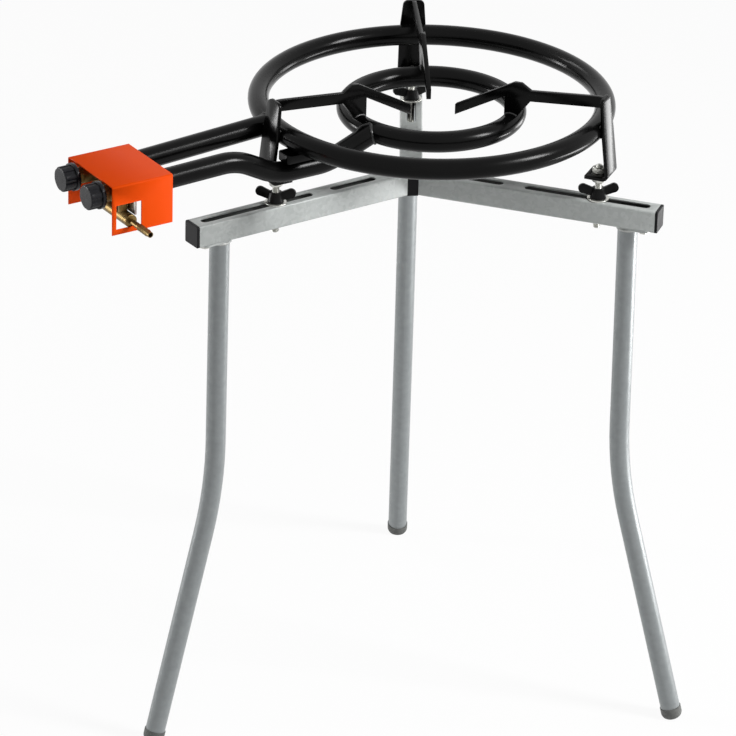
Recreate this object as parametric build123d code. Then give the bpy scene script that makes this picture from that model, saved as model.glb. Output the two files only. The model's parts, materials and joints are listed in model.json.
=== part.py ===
from build123d import *
import math
import os

# Gas burner with two concentric rings for paella pans, on a three-legged steel stand.
# Millimetres, +Z up. The origin is on the floor, under the common centre of the rings.
# The taps and the gas inlet are towards -X, over the front arm of the stand.
# Pieces of an arm or a pan support are drawn along +X and then turned into place.

# Directions of the three pan supports from the rings' axis, in degrees from +X
SUPPORT_ANGLES = {"front": 178.8, "rear_left": 63.0, "rear_right": -54.0}

# How far from the rings' axis the arms meet: towards the taps, to balance them, and to the left
HUB_TOWARDS_TAPS = 18.0
HUB_SIDEWAYS = 9.0

# Stand: square tube arms
UNDERSIDE_HEIGHT = 595.0
ARM_SIDE = 25.0
ARM_WALL = 1.5
ARM_CORNER = 2.0
ARM_BEYOND_RING = 95.5
SLOT_WIDTH = 10.5
OUTER_SLOT_START = 130.0
OUTER_SLOT_END_MARGIN = 12.0
INNER_SLOT_START = 48.0
INNER_SLOT_LENGTH = 58.0
END_PLUG_HEAD = 3.0
END_PLUG_EDGE = 0.6
END_PLUG_DEPTH = 6.0
END_PLUG_WALL = 1.6
PLUG_CLEARANCE = 0.1
HUB_LOBE_WIDTH = 12.0
HUB_PLUG_THICKNESS = 3.0

# Stand: bent tube legs
LEG_DIAMETER = 22.0
LEG_WALL = 1.5
LEG_TOP_SETBACK = 36.0
LEG_BEND_HEIGHT = 297.0
LEG_BEND_RADIUS = 450.0
LEG_UPPER_LEAN = 0.5
LEG_SPLAY = 14.8
LEG_END_HEIGHT = 13.0
FOOT_HEAD = 14.5
FOOT_LIP = 0.8
FOOT_ROUND = 8.0
FOOT_SPIGOT = 15.0
LEG_PLATE_THICKNESS = 2.5
LEG_PLATE_WIDTH = 22.0
LEG_PLATE_ROUND = 5.0
LEG_BOLT_OFFSET = 18.5
LEG_BOLT_EDGE = 7.0
LEG_BOLT_RADIUS = 3.0
LEG_BOLT_HEAD_ACROSS_FLATS = 10.0
LEG_BOLT_HEAD_HEIGHT = 4.0
LEG_BOLT_END = 2.0
LEG_NUT_SIDE = 16.0
LEG_NUT_HEIGHT = 5.0
BOLT_CLEARANCE = 0.3

# Burner rings
RING_TUBE_DIAMETER = 23.0
RING_WALL = 1.5
RING_ABOVE_ARM = 81.0
OUTER_RING_RADIUS = 188.5
INNER_RING_RADIUS = 92.0
INNER_RING_DROP = 10.0

# Pan supports: a leaning strip outside the outer ring, and a bar that crosses both rings
SUPPORT_WIDTH = 30.0
SUPPORT_TOP_WIDTH = 23.0
SUPPORT_THICKNESS = 4.0
SUPPORT_LEAN = 7.0
SUPPORT_RISE = 38.0
SUPPORT_TIP_ROUND = 6.0
SUPPORT_BEND_RADIUS = 3.0
TAB_DROP = 54.0
STUD_OUTSIDE_RING = 6.5
TAB_EDGE = 12.0
PAN_BAR_THICKNESS = 5.0
PAN_BAR_DEPTH = 12.0
PAN_BAR_SEAT = 6.0
PAN_BAR_SAG = 7.0
PAN_BAR_SAG_OUTSIDE_KNUCKLE = 11.0
KNUCKLE_OUTSIDE_RING = 3.0
KNUCKLE_WIDTH = 8.0
PAN_BAR_TIP_RADIUS = 28.0
PAN_BAR_TIP_RISE = 1.0
LUG_WIDTH = 15.0
LUG_GRIP = 2.5

# Levelling studs with wing nuts
STUD_RADIUS = 4.0
STUD_BELOW_ARM = 9.0
STUD_ABOVE_TAB = 9.0
STUD_CHAMFER = 0.8
STUD_NUT_ACROSS_FLATS = 13.0
STUD_NUT_HEIGHT = 6.5
WASHER_RADIUS = 12.0
WASHER_HOLE_RADIUS = 4.2
WASHER_THICKNESS = 1.6
NUT_SEAT_GAP = 0.2
THREAD_CLEARANCE = 0.05
WING_HUB_RADIUS = 9.0
WING_HUB_TOP_RADIUS = 7.0
WING_HUB_HEIGHT = 11.0
WING_SPAN = 44.0
WING_HEIGHT = 16.0
WING_THICKNESS = 3.6
WING_LOBE_RADIUS = 5.2
WING_ROOT_RADIUS = 4.9
WING_ROOT_HEIGHT = 1.5
WING_NUT_TURNS = {"front": 50.0, "rear_left": 15.0, "rear_right": -63.0}

# Gas train
TAP_LINE_Y = 4.0
TAP_SPACING = 54.0
TAP_DROP = 10.5
FEED_LENGTH = 183.5
INNER_FEED_CREST_OUTSIDE_RING = 73.5
INNER_FEED_CREST_DROP = 7.0
INNER_FEED_DIP_OUTSIDE_RING = 23.5
INNER_FEED_DIP_INSIDE_RING = 40.5
FEED_BEND_RADIUS = 70.0
SADDLE_OUTSIDE_RING = 15.5
SADDLE_INSIDE_RING = 28.5
SADDLE_HEIGHT = 10.0
SADDLE_WIDTH = 21.0
SADDLE_CORNER = 4.0
VALVE_RADIUS = 9.0
VALVE_LENGTH = 26.0
VALVE_NOSE_LENGTH = 16.0
VALVE_NOSE_RADIUS = 5.0
INJECTOR_STANDOFF = 6.0
INJECTOR_ACROSS_FLATS = 12.0
INJECTOR_LENGTH = 9.0
INJECTOR_SOCKET_DEPTH = 4.5
INJECTOR_JET_RADIUS = 0.8
INLET_BOSS_RADIUS = 5.0
GAS_PASSAGE_RADIUS = 2.0
PLUG_RADIUS = 5.0
PLUG_LENGTH = 17.0
PLUG_FRONT_RECESS = 2.0
PLUG_END_GAP = 0.5
RUNNING_CLEARANCE = 0.05
STEM_RADIUS = 3.0
STEM_FLAT = 2.2
STEM_ENGAGEMENT = 10.0
BONNET_ACROSS_FLATS = 16.0
BONNET_THICKNESS = 4.0
BONNET_HOLE_CLEARANCE = 0.5
MANIFOLD_RADIUS = 7.0
MANIFOLD_BORE_RADIUS = 5.0
MANIFOLD_DROP = 29.5
MANIFOLD_SETBACK = 20.0
MANIFOLD_END_WALL = 3.0
MANIFOLD_OVERHANG = 12.0
HOSE_TAIL_HEX_ACROSS_FLATS = 14.0
HOSE_TAIL_HEX_LENGTH = 6.0
HOSE_TAIL_RADIUS = 4.0
HOSE_TAIL_BORE_RADIUS = 2.5
HOSE_TAIL_LENGTH = 40.0

# Knobs
KNOB_RADIUS = 15.0
KNOB_SKIRT_LENGTH = 4.0
KNOB_GRIP_RADIUS = 13.6
KNOB_LENGTH = 17.0
KNOB_PUSH = 3.0
KNOB_STOP_GAP = 0.5
KNOB_FLUTES = 8
KNOB_FLUTE_RADIUS = 4.0
KNOB_FLUTE_DEPTH = 1.4
KNOB_EDGE_ROUND = 1.6
KNOB_BORE_DEPTH = 12.0

# Sheet-metal cover and the bracket inside it
COVER_OVERHANG = 4.0
COVER_LENGTH = 73.0
COVER_WIDTH = 94.0
COVER_TOP_RISE = 14.5
COVER_DEPTH = 55.0
COVER_SHEET = 1.2
COVER_BEND_RADIUS = 2.2
WINDOW_MARGIN = 5.0
WINDOW_LENGTH = 30.0
WINDOW_SILL = 6.0
WINDOW_HEIGHT = 27.0
BRACKET_SHEET = 2.0
BRACKET_WIDTH = 84.0
BRACKET_GRIP = 6.0
BRACKET_DEPTH = 38.0

# How far a cutting tool runs past the faces that it cuts
OVERRUN = 1.0

# Heights and places that follow from the values above
ARM_TOP = UNDERSIDE_HEIGHT + ARM_SIDE
ARM_MIDDLE = UNDERSIDE_HEIGHT + ARM_SIDE / 2
RING_HEIGHT = ARM_TOP + RING_ABOVE_ARM
RING_TUBE_RADIUS = RING_TUBE_DIAMETER / 2
INNER_RING_HEIGHT = RING_HEIGHT - INNER_RING_DROP
TAP_HEIGHT = RING_HEIGHT - TAP_DROP
OUTER_TAP_Y = TAP_LINE_Y + TAP_SPACING / 2
INNER_TAP_Y = TAP_LINE_Y - TAP_SPACING / 2
ARM_REACH = OUTER_RING_RADIUS + ARM_BEYOND_RING
OUTER_SLOT = (OUTER_SLOT_START, ARM_REACH - OUTER_SLOT_END_MARGIN)
INNER_SLOT = (INNER_SLOT_START, INNER_SLOT_START + INNER_SLOT_LENGTH)
LEG_TOP_HEIGHT = UNDERSIDE_HEIGHT - LEG_PLATE_THICKNESS
LEG_TOP_RADIUS = ARM_REACH - LEG_TOP_SETBACK
LEG_BOLT_RADIUS_FROM_HUB = LEG_TOP_RADIUS + LEG_BOLT_OFFSET
STUD_CIRCLE_RADIUS = OUTER_RING_RADIUS + STUD_OUTSIDE_RING
STUD_BOTTOM = UNDERSIDE_HEIGHT - STUD_BELOW_ARM
TAB_BOTTOM = RING_HEIGHT - TAB_DROP
TAB_TOP = TAB_BOTTOM + SUPPORT_THICKNESS
KNUCKLE_INNER_RADIUS = INNER_RING_RADIUS + KNUCKLE_OUTSIDE_RING
KNUCKLE_OUTER_RADIUS = KNUCKLE_INNER_RADIUS + KNUCKLE_WIDTH
PAN_BAR_SAG_RADIUS = KNUCKLE_OUTER_RADIUS + PAN_BAR_SAG_OUTSIDE_KNUCKLE
WING_NUT_BOTTOM = ARM_TOP + WASHER_THICKNESS + NUT_SEAT_GAP
FEED_MOUTH_REACH = OUTER_RING_RADIUS + FEED_LENGTH
INNER_FEED_CREST_REACH = OUTER_RING_RADIUS + INNER_FEED_CREST_OUTSIDE_RING
INNER_FEED_DIP_START = OUTER_RING_RADIUS + INNER_FEED_DIP_OUTSIDE_RING
INNER_FEED_DIP_END = OUTER_RING_RADIUS - INNER_FEED_DIP_INSIDE_RING
INNER_FEED_DIP = RING_TUBE_DIAMETER + SADDLE_HEIGHT
SADDLE_REACH = (OUTER_RING_RADIUS - SADDLE_INSIDE_RING, OUTER_RING_RADIUS + SADDLE_OUTSIDE_RING)
BRACKET_REAR_REACH = FEED_MOUTH_REACH - BRACKET_GRIP
INJECTOR_REACH = FEED_MOUTH_REACH + INJECTOR_STANDOFF
VALVE_BACK_REACH = INJECTOR_REACH + VALVE_NOSE_LENGTH
VALVE_FRONT_REACH = VALVE_BACK_REACH + VALVE_LENGTH
KNOB_REAR_REACH = VALVE_FRONT_REACH + BONNET_THICKNESS + KNOB_STOP_GAP + KNOB_PUSH
PLUG_FRONT_REACH = VALVE_FRONT_REACH - PLUG_FRONT_RECESS
MANIFOLD_REACH = VALVE_FRONT_REACH - MANIFOLD_SETBACK
MANIFOLD_HEIGHT = TAP_HEIGHT - MANIFOLD_DROP
COVER_FRONT_REACH = VALVE_FRONT_REACH + COVER_OVERHANG
COVER_TOP = TAP_HEIGHT + COVER_TOP_RISE
COVER_BOTTOM = COVER_TOP - COVER_DEPTH

# The order of the arms, anticlockwise from above
ARM_ORDER = ["rear_right", "rear_left", "front"]


def arm_angle(arm):
    """Direction of an arm from the hub: it runs under the stud of its own pan support."""
    angle = math.radians(SUPPORT_ANGLES[arm])
    x = STUD_CIRCLE_RADIUS * math.cos(angle) + HUB_TOWARDS_TAPS
    y = STUD_CIRCLE_RADIUS * math.sin(angle) - HUB_SIDEWAYS
    return math.degrees(math.atan2(y, x))


def half_gap(first, second):
    """Half the angle from one arm, anticlockwise, to the next."""
    return (arm_angle(second) - arm_angle(first)) % 360 / 2


def on_arm(shape, arm):
    """Moves a piece drawn along +X onto the named arm of the stand."""
    return Pos(-HUB_TOWARDS_TAPS, HUB_SIDEWAYS, 0) * Rot(0, 0, arm_angle(arm)) * shape


def on_support(shape, arm):
    """Turns a piece drawn along +X to the pan support over the named arm."""
    return Rot(0, 0, SUPPORT_ANGLES[arm]) * shape


def rod(radius, start, end):
    """A round bar from one point to another."""
    axis = Vector(*end) - Vector(*start)
    return extrude(Plane(origin=start, z_dir=axis) * Circle(radius), axis.length)


def hex_prism(across_flats, start, end):
    """A hexagonal bar from one point to another."""
    axis = Vector(*end) - Vector(*start)
    section = RegularPolygon(across_flats / 2, 6, major_radius=False)
    return extrude(Plane(origin=start, z_dir=axis) * section, axis.length)


def upright_rod(radius, x, bottom, top):
    """A round bar along Z, at a distance along +X."""
    return rod(radius, (x, 0, bottom), (x, 0, top))


def tap_rod(radius, front_reach, back_reach, y):
    """A round bar along a tap's axis, between two distances towards -X."""
    return rod(radius, (-front_reach, y, TAP_HEIGHT), (-back_reach, y, TAP_HEIGHT))


def slot_cut(span):
    """The round-ended slot through both walls of an arm, between two radii."""
    middle = Pos((span[0] + span[1]) / 2, 0, UNDERSIDE_HEIGHT - OVERRUN)
    return extrude(middle * SlotOverall(span[1] - span[0], SLOT_WIDTH), ARM_SIDE + 2 * OVERRUN)


def beyond_mitre(half_angle, side):
    """The space past an arm's mitre on one side, up to half a lobe of the hub short of the bisector."""
    inset = HUB_LOBE_WIDTH / 2
    block = Box(4 * ARM_REACH, ARM_REACH, ARM_SIDE + 2 * OVERRUN)
    return Rot(0, 0, side * half_angle) * Pos(0, side * (ARM_REACH / 2 - inset), ARM_MIDDLE) * block


def stand_arm(arm):
    """A square tube from the hub to its end plug, with two slots in line on top and below."""
    index = ARM_ORDER.index(arm)
    following = ARM_ORDER[(index + 1) % len(ARM_ORDER)]
    previous = ARM_ORDER[index - 1]
    outside = RectangleRounded(ARM_SIDE, ARM_SIDE, ARM_CORNER)
    bore_side = ARM_SIDE - 2 * ARM_WALL
    section = Plane.YZ * Pos(0, ARM_MIDDLE) * (outside - Rectangle(bore_side, bore_side))
    tube = extrude(section, ARM_REACH - END_PLUG_HEAD)
    tube -= beyond_mitre(half_gap(arm, following), 1)
    tube -= beyond_mitre(half_gap(previous, arm), -1)
    return tube - slot_cut(OUTER_SLOT) - slot_cut(INNER_SLOT)


def arm_plug():
    """A plastic end plug: a flat head and a hollow spigot that pushes into the tube."""
    tube_end = ARM_REACH - END_PLUG_HEAD
    outline = Plane.YZ * Pos(0, ARM_MIDDLE) * RectangleRounded(ARM_SIDE, ARM_SIDE, ARM_CORNER)
    head = Pos(tube_end, 0, 0) * extrude(outline, END_PLUG_HEAD)
    head = chamfer(head.faces().sort_by(Axis.X)[-1].edges(), END_PLUG_EDGE)
    spigot_side = ARM_SIDE - 2 * ARM_WALL - 2 * PLUG_CLEARANCE
    hollow_side = spigot_side - 2 * END_PLUG_WALL
    section = Rectangle(spigot_side, spigot_side) - Rectangle(hollow_side, hollow_side)
    spigot = extrude(Plane.YZ * Pos(0, ARM_MIDDLE) * section, END_PLUG_DEPTH)
    return head + Pos(tube_end - END_PLUG_DEPTH, 0, 0) * spigot


def lobe_reach(half_angle):
    """How far out a lobe's side meets the outer faces of the two arms beside it."""
    turn = math.radians(half_angle)
    return (ARM_SIDE / 2 + HUB_LOBE_WIDTH / 2 * math.cos(turn)) / math.sin(turn)


def hub_lobe(first, second, start, end):
    """One flat stretch of the hub's lobe between two neighbouring arms, from one radius to another."""
    lobe = Pos((start + end) / 2, 0, ARM_MIDDLE) * Box(end - start, HUB_LOBE_WIDTH, ARM_SIDE)
    direction = arm_angle(first) + half_gap(first, second)
    return Pos(-HUB_TOWARDS_TAPS, HUB_SIDEWAYS, 0) * Rot(0, 0, direction) * lobe


def stand_hub():
    """The three-lobed steel block that the arms are welded to."""
    hub = None
    for index, first in enumerate(ARM_ORDER):
        second = ARM_ORDER[(index + 1) % len(ARM_ORDER)]
        reach = lobe_reach(half_gap(first, second))
        if first == "front":
            reach -= HUB_PLUG_THICKNESS
        lobe = hub_lobe(first, second, 0, reach)
        hub = lobe if hub is None else hub + lobe
    return hub


def hub_plug():
    """The black plastic strip over the hub's lobe between the front and rear right arms."""
    reach = lobe_reach(half_gap("front", "rear_right"))
    return hub_lobe("front", "rear_right", reach - HUB_PLUG_THICKNESS, reach)


def leg_radius_at(height):
    """Radius of a leg's centre line, without its bend's rounding, at a height above the floor."""
    upper_slope = math.tan(math.radians(LEG_UPPER_LEAN))
    knee = LEG_TOP_RADIUS + (LEG_TOP_HEIGHT - LEG_BEND_HEIGHT) * upper_slope
    if height >= LEG_BEND_HEIGHT:
        return LEG_TOP_RADIUS + (LEG_TOP_HEIGHT - height) * upper_slope
    return knee + (LEG_BEND_HEIGHT - height) * math.tan(math.radians(LEG_SPLAY))


def leg():
    """A round tube, nearly upright above its bend and splayed outwards below it."""
    heights = (LEG_TOP_HEIGHT + LEG_DIAMETER, LEG_BEND_HEIGHT, LEG_END_HEIGHT)
    path = FilletPolyline(*[(leg_radius_at(z), 0, z) for z in heights], radius=LEG_BEND_RADIUS)
    section = Circle(LEG_DIAMETER / 2) - Circle(LEG_DIAMETER / 2 - LEG_WALL)
    tube = sweep(Plane(origin=path @ 0, z_dir=path % 0) * section, path=path)
    block = Box(4 * LEG_DIAMETER, 4 * LEG_DIAMETER, 2 * LEG_DIAMETER)
    return tube - Pos(LEG_TOP_RADIUS, 0, LEG_TOP_HEIGHT + LEG_DIAMETER) * block


def foot_cap():
    """A plastic foot: a rounded head under the tube's end, cut flat at the floor, and a spigot inside it."""
    splay = math.radians(LEG_SPLAY)
    tube_end = Vector(leg_radius_at(LEG_END_HEIGHT), 0, LEG_END_HEIGHT)
    up = Vector(-math.sin(splay), 0, math.cos(splay))
    plane = Plane(origin=tube_end - up * FOOT_HEAD, z_dir=up)
    head = extrude(plane * Circle(LEG_DIAMETER / 2 + FOOT_LIP), FOOT_HEAD)
    head = fillet(head.faces().sort_by(Axis.Z)[0].edges(), FOOT_ROUND)
    block = Box(4 * LEG_DIAMETER, 4 * LEG_DIAMETER, 2 * LEG_DIAMETER)
    below_floor = Pos(tube_end.X, 0, -LEG_DIAMETER) * block
    spigot_radius = LEG_DIAMETER / 2 - LEG_WALL - PLUG_CLEARANCE
    spigot = extrude(Plane(origin=tube_end, z_dir=up) * Circle(spigot_radius), FOOT_SPIGOT)
    return head - below_floor + spigot


def leg_plate():
    """The flat plate welded on a leg's top and bolted under the arm."""
    inner = LEG_TOP_RADIUS - LEG_DIAMETER / 2
    outer = LEG_BOLT_RADIUS_FROM_HUB + LEG_BOLT_EDGE
    sketch = RectangleRounded(outer - inner, LEG_PLATE_WIDTH, LEG_PLATE_ROUND)
    plate = extrude(Pos((inner + outer) / 2, 0, LEG_TOP_HEIGHT) * sketch, LEG_PLATE_THICKNESS)
    hole = upright_rod(LEG_BOLT_RADIUS + BOLT_CLEARANCE, LEG_BOLT_RADIUS_FROM_HUB,
                       LEG_TOP_HEIGHT - OVERRUN, UNDERSIDE_HEIGHT + OVERRUN)
    return plate - hole


def leg_bolt():
    """A hexagon bolt, head down, through a leg's plate and the outer slot of its arm."""
    x = LEG_BOLT_RADIUS_FROM_HUB
    head_bottom = LEG_TOP_HEIGHT - LEG_BOLT_HEAD_HEIGHT
    head = hex_prism(LEG_BOLT_HEAD_ACROSS_FLATS, (x, 0, head_bottom), (x, 0, LEG_TOP_HEIGHT))
    shank_top = UNDERSIDE_HEIGHT + ARM_WALL + LEG_NUT_HEIGHT + LEG_BOLT_END
    return head + upright_rod(LEG_BOLT_RADIUS, x, LEG_TOP_HEIGHT, shank_top)


def leg_nut():
    """A square nut that sits inside the arm and can't turn there."""
    seat = UNDERSIDE_HEIGHT + ARM_WALL
    x = LEG_BOLT_RADIUS_FROM_HUB
    nut = Pos(x, 0, seat + LEG_NUT_HEIGHT / 2) * Box(LEG_NUT_SIDE, LEG_NUT_SIDE, LEG_NUT_HEIGHT)
    top = seat + LEG_NUT_HEIGHT
    return nut - upright_rod(LEG_BOLT_RADIUS + THREAD_CLEARANCE, x, seat - OVERRUN, top + OVERRUN)


def ring_solid(radius, height, tube_radius):
    """A solid round ring about the Z axis."""
    return Pos(0, 0, height) * Torus(radius, tube_radius)


def support_inner_face(rise):
    """Radius of a pan support's inner face at a height from the outer ring, which it touches."""
    lean = math.radians(SUPPORT_LEAN)
    touch_radius = OUTER_RING_RADIUS + RING_TUBE_RADIUS * math.cos(lean)
    return touch_radius - (rise - RING_TUBE_RADIUS * math.sin(lean)) * math.tan(lean)


def support_front_view():
    """The strip's outline seen from outside: straight sides, then a taper to a rounded top."""
    top = RING_HEIGHT + SUPPORT_RISE
    half, half_top = SUPPORT_WIDTH / 2, SUPPORT_TOP_WIDTH / 2
    outline = [
        (-half, TAB_BOTTOM - OVERRUN),
        (half, TAB_BOTTOM - OVERRUN),
        (half, RING_HEIGHT),
        (half_top, top),
        (-half_top, top),
        (-half, RING_HEIGHT),
    ]
    shield = make_face(Polyline(*outline, close=True))
    return Plane.YZ * fillet(shield.vertices().sort_by(Axis.Y)[-2:], SUPPORT_TIP_ROUND)


def pan_support():
    """A strip that leans against the outer ring, rises over it and bends in under it as a foot tab."""
    across = SUPPORT_THICKNESS / math.cos(math.radians(SUPPORT_LEAN))
    top = RING_HEIGHT + SUPPORT_RISE
    tab_end = STUD_CIRCLE_RADIUS - TAB_EDGE
    inner_corner = (support_inner_face(SUPPORT_THICKNESS - TAB_DROP), TAB_TOP)
    outer_corner = (support_inner_face(-TAB_DROP) + across, TAB_BOTTOM)
    outline = [
        (support_inner_face(SUPPORT_RISE), top),
        (support_inner_face(SUPPORT_RISE) + across, top),
        outer_corner,
        (tab_end, TAB_BOTTOM),
        (tab_end, TAB_TOP),
        inner_corner,
    ]
    sketch = make_face(Polyline(*outline, close=True))
    outer_bend = SUPPORT_BEND_RADIUS + SUPPORT_THICKNESS
    sketch = fillet(sketch.vertices().sort_by_distance(outer_corner)[0], outer_bend)
    sketch = fillet(sketch.vertices().sort_by_distance(inner_corner)[0], SUPPORT_BEND_RADIUS)
    strip = extrude(Plane.XZ * sketch, SUPPORT_WIDTH / 2, both=True)
    strip = strip & extrude(support_front_view(), OUTER_RING_RADIUS + 2 * SUPPORT_WIDTH)
    hole_radius = STUD_RADIUS + BOLT_CLEARANCE
    return strip - upright_rod(hole_radius, STUD_CIRCLE_RADIUS, TAB_BOTTOM - OVERRUN, TAB_TOP + OVERRUN)


def pan_bar():
    """A flat bar on edge, from the strip over both rings, with a knuckle and a lug on the inner ring."""
    top = RING_HEIGHT + SUPPORT_RISE
    sag_top = top - PAN_BAR_SAG
    tip_top = RING_HEIGHT + PAN_BAR_TIP_RISE
    slope = (top - tip_top) / (KNUCKLE_INNER_RADIUS - PAN_BAR_TIP_RADIUS)
    lug_inner = INNER_RING_RADIUS - LUG_WIDTH / 2
    lug_outer = INNER_RING_RADIUS + LUG_WIDTH / 2
    lug_bottom = INNER_RING_HEIGHT + RING_TUBE_RADIUS - LUG_GRIP
    lug_join = tip_top - PAN_BAR_DEPTH + slope * (lug_inner - PAN_BAR_TIP_RADIUS)
    outline = [
        (support_inner_face(SUPPORT_RISE), top),
        (support_inner_face(SUPPORT_RISE) - PAN_BAR_SEAT, top),
        (PAN_BAR_SAG_RADIUS, sag_top),
        (KNUCKLE_OUTER_RADIUS, top),
        (KNUCKLE_INNER_RADIUS, top),
        (PAN_BAR_TIP_RADIUS, tip_top),
        (PAN_BAR_TIP_RADIUS, tip_top - PAN_BAR_DEPTH),
        (lug_inner, lug_join),
        (lug_inner, lug_bottom),
        (lug_outer, lug_bottom),
        (PAN_BAR_SAG_RADIUS, sag_top - PAN_BAR_DEPTH),
        (support_inner_face(SUPPORT_RISE - PAN_BAR_DEPTH), top - PAN_BAR_DEPTH),
    ]
    face = Plane.XZ * make_face(Polyline(*outline, close=True))
    bar = extrude(face, PAN_BAR_THICKNESS / 2, both=True)
    return bar - ring_solid(INNER_RING_RADIUS, INNER_RING_HEIGHT, RING_TUBE_RADIUS)


def levelling_stud():
    """The threaded stud of one burner foot, drawn as a plain rod."""
    high = TAB_TOP + STUD_ABOVE_TAB
    stud = upright_rod(STUD_RADIUS, STUD_CIRCLE_RADIUS, STUD_BOTTOM, high)
    return chamfer(stud.edges().filter_by(GeomType.CIRCLE), STUD_CHAMFER)


def stud_nut(bottom):
    """A hexagon nut on a levelling stud: one above and one below the support's tab."""
    x = STUD_CIRCLE_RADIUS
    top = bottom + STUD_NUT_HEIGHT
    nut = hex_prism(STUD_NUT_ACROSS_FLATS, (x, 0, bottom), (x, 0, top))
    return nut - upright_rod(STUD_RADIUS + THREAD_CLEARANCE, x, bottom - OVERRUN, top + OVERRUN)


def stud_washer():
    """The flat washer under a wing nut, on the top face of the arm."""
    disc = upright_rod(WASHER_RADIUS, STUD_CIRCLE_RADIUS, ARM_TOP, ARM_TOP + WASHER_THICKNESS)
    hole_top = ARM_TOP + WASHER_THICKNESS + OVERRUN
    return disc - upright_rod(WASHER_HOLE_RADIUS, STUD_CIRCLE_RADIUS, ARM_TOP - OVERRUN, hole_top)


def wing(side):
    """One wing of a wing nut: a round lobe on a web that grows from the hub."""
    lobe_y = WING_SPAN / 2 - WING_LOBE_RADIUS
    lobe_z = WING_NUT_BOTTOM + WING_HEIGHT - WING_LOBE_RADIUS
    lean = math.atan2(lobe_z - WING_NUT_BOTTOM, lobe_y)
    across_y = WING_LOBE_RADIUS * math.sin(lean)
    across_z = WING_LOBE_RADIUS * math.cos(lean)
    web = make_face(Polyline(
        (side * WING_ROOT_RADIUS, WING_NUT_BOTTOM + WING_ROOT_HEIGHT),
        (side * (lobe_y + across_y), lobe_z - across_z),
        (side * (lobe_y - across_y), lobe_z + across_z),
        (side * WING_ROOT_RADIUS, WING_NUT_BOTTOM + WING_HUB_HEIGHT),
        close=True))
    outline = Plane.YZ * (Pos(side * lobe_y, lobe_z) * Circle(WING_LOBE_RADIUS) + web)
    return extrude(outline, WING_THICKNESS / 2, both=True)


def wing_nut(turn):
    """A wing nut at its resting turn: a tapered hub with two upright rounded wings."""
    hub_bottom = Plane(origin=(0, 0, WING_NUT_BOTTOM))
    hub_top = Plane(origin=(0, 0, WING_NUT_BOTTOM + WING_HUB_HEIGHT))
    nut = loft([hub_bottom * Circle(WING_HUB_RADIUS), hub_top * Circle(WING_HUB_TOP_RADIUS)])
    nut = nut + wing(1) + wing(-1)
    bore_top = WING_NUT_BOTTOM + WING_HEIGHT
    nut -= upright_rod(STUD_RADIUS + THREAD_CLEARANCE, 0, WING_NUT_BOTTOM - OVERRUN, bore_top)
    return Pos(STUD_CIRCLE_RADIUS, 0, 0) * Rot(0, 0, turn) * nut


def tube_along(points, radius):
    """A solid bar of round section along straight runs joined by round bends."""
    path = FilletPolyline(*points, radius=FEED_BEND_RADIUS) if len(points) > 2 else Line(*points)
    return sweep(Plane(origin=path @ 0, z_dir=path % 0) * Circle(radius), path=path)


def outer_feed_points():
    """The straight run of the outer ring's feed tube, from its open mouth to the ring's centre line."""
    end_x = -math.sqrt(OUTER_RING_RADIUS ** 2 - OUTER_TAP_Y ** 2)
    return [(-FEED_MOUTH_REACH, OUTER_TAP_Y, TAP_HEIGHT), (end_x, OUTER_TAP_Y, RING_HEIGHT)]


def inner_feed_points():
    """The inner ring's feed tube, which rises a little, dips under the outer ring and rises again."""
    end_x = -math.sqrt(INNER_RING_RADIUS ** 2 - INNER_TAP_Y ** 2)
    dip = RING_HEIGHT - INNER_FEED_DIP
    return [
        (-FEED_MOUTH_REACH, INNER_TAP_Y, TAP_HEIGHT),
        (-INNER_FEED_CREST_REACH, INNER_TAP_Y, RING_HEIGHT - INNER_FEED_CREST_DROP),
        (-INNER_FEED_DIP_START, INNER_TAP_Y, dip),
        (-INNER_FEED_DIP_END, INNER_TAP_Y, dip),
        (end_x, INNER_TAP_Y, INNER_RING_HEIGHT),
    ]


def ring_with_feed(radius, height, feed_points):
    """A ring of tube and the feed tube that is welded on it, with the gas way open between them."""
    bore_radius = RING_TUBE_RADIUS - RING_WALL
    outside = ring_solid(radius, height, RING_TUBE_RADIUS)
    bore = tube_along(feed_points, bore_radius)
    ring = outside - ring_solid(radius, height, bore_radius) - bore
    feed = tube_along(feed_points, RING_TUBE_RADIUS) - bore - outside
    return ring, feed


def feed_saddle():
    """The block that the inner feed tube hangs from, welded under the outer ring."""
    top = RING_HEIGHT - RING_TUBE_RADIUS
    bottom = RING_HEIGHT - INNER_FEED_DIP + RING_TUBE_RADIUS
    near, far = SADDLE_REACH
    block = Box(far - near, SADDLE_WIDTH, top - bottom)
    block = fillet(block.edges().filter_by(Axis.Z), SADDLE_CORNER)
    block = Pos(-(near + far) / 2, INNER_TAP_Y, (top + bottom) / 2) * block
    return block - tube_along(inner_feed_points(), RING_TUBE_RADIUS)


def upright_gas_way(y, radius):
    """A bar from the manifold's centre line up to a tap's axis."""
    return rod(radius, (-MANIFOLD_REACH, y, MANIFOLD_HEIGHT), (-MANIFOLD_REACH, y, TAP_HEIGHT))


def manifold_bar(radius, near, far):
    """A round bar along the manifold's centre line."""
    return rod(radius, (-MANIFOLD_REACH, near, MANIFOLD_HEIGHT), (-MANIFOLD_REACH, far, MANIFOLD_HEIGHT))


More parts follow.
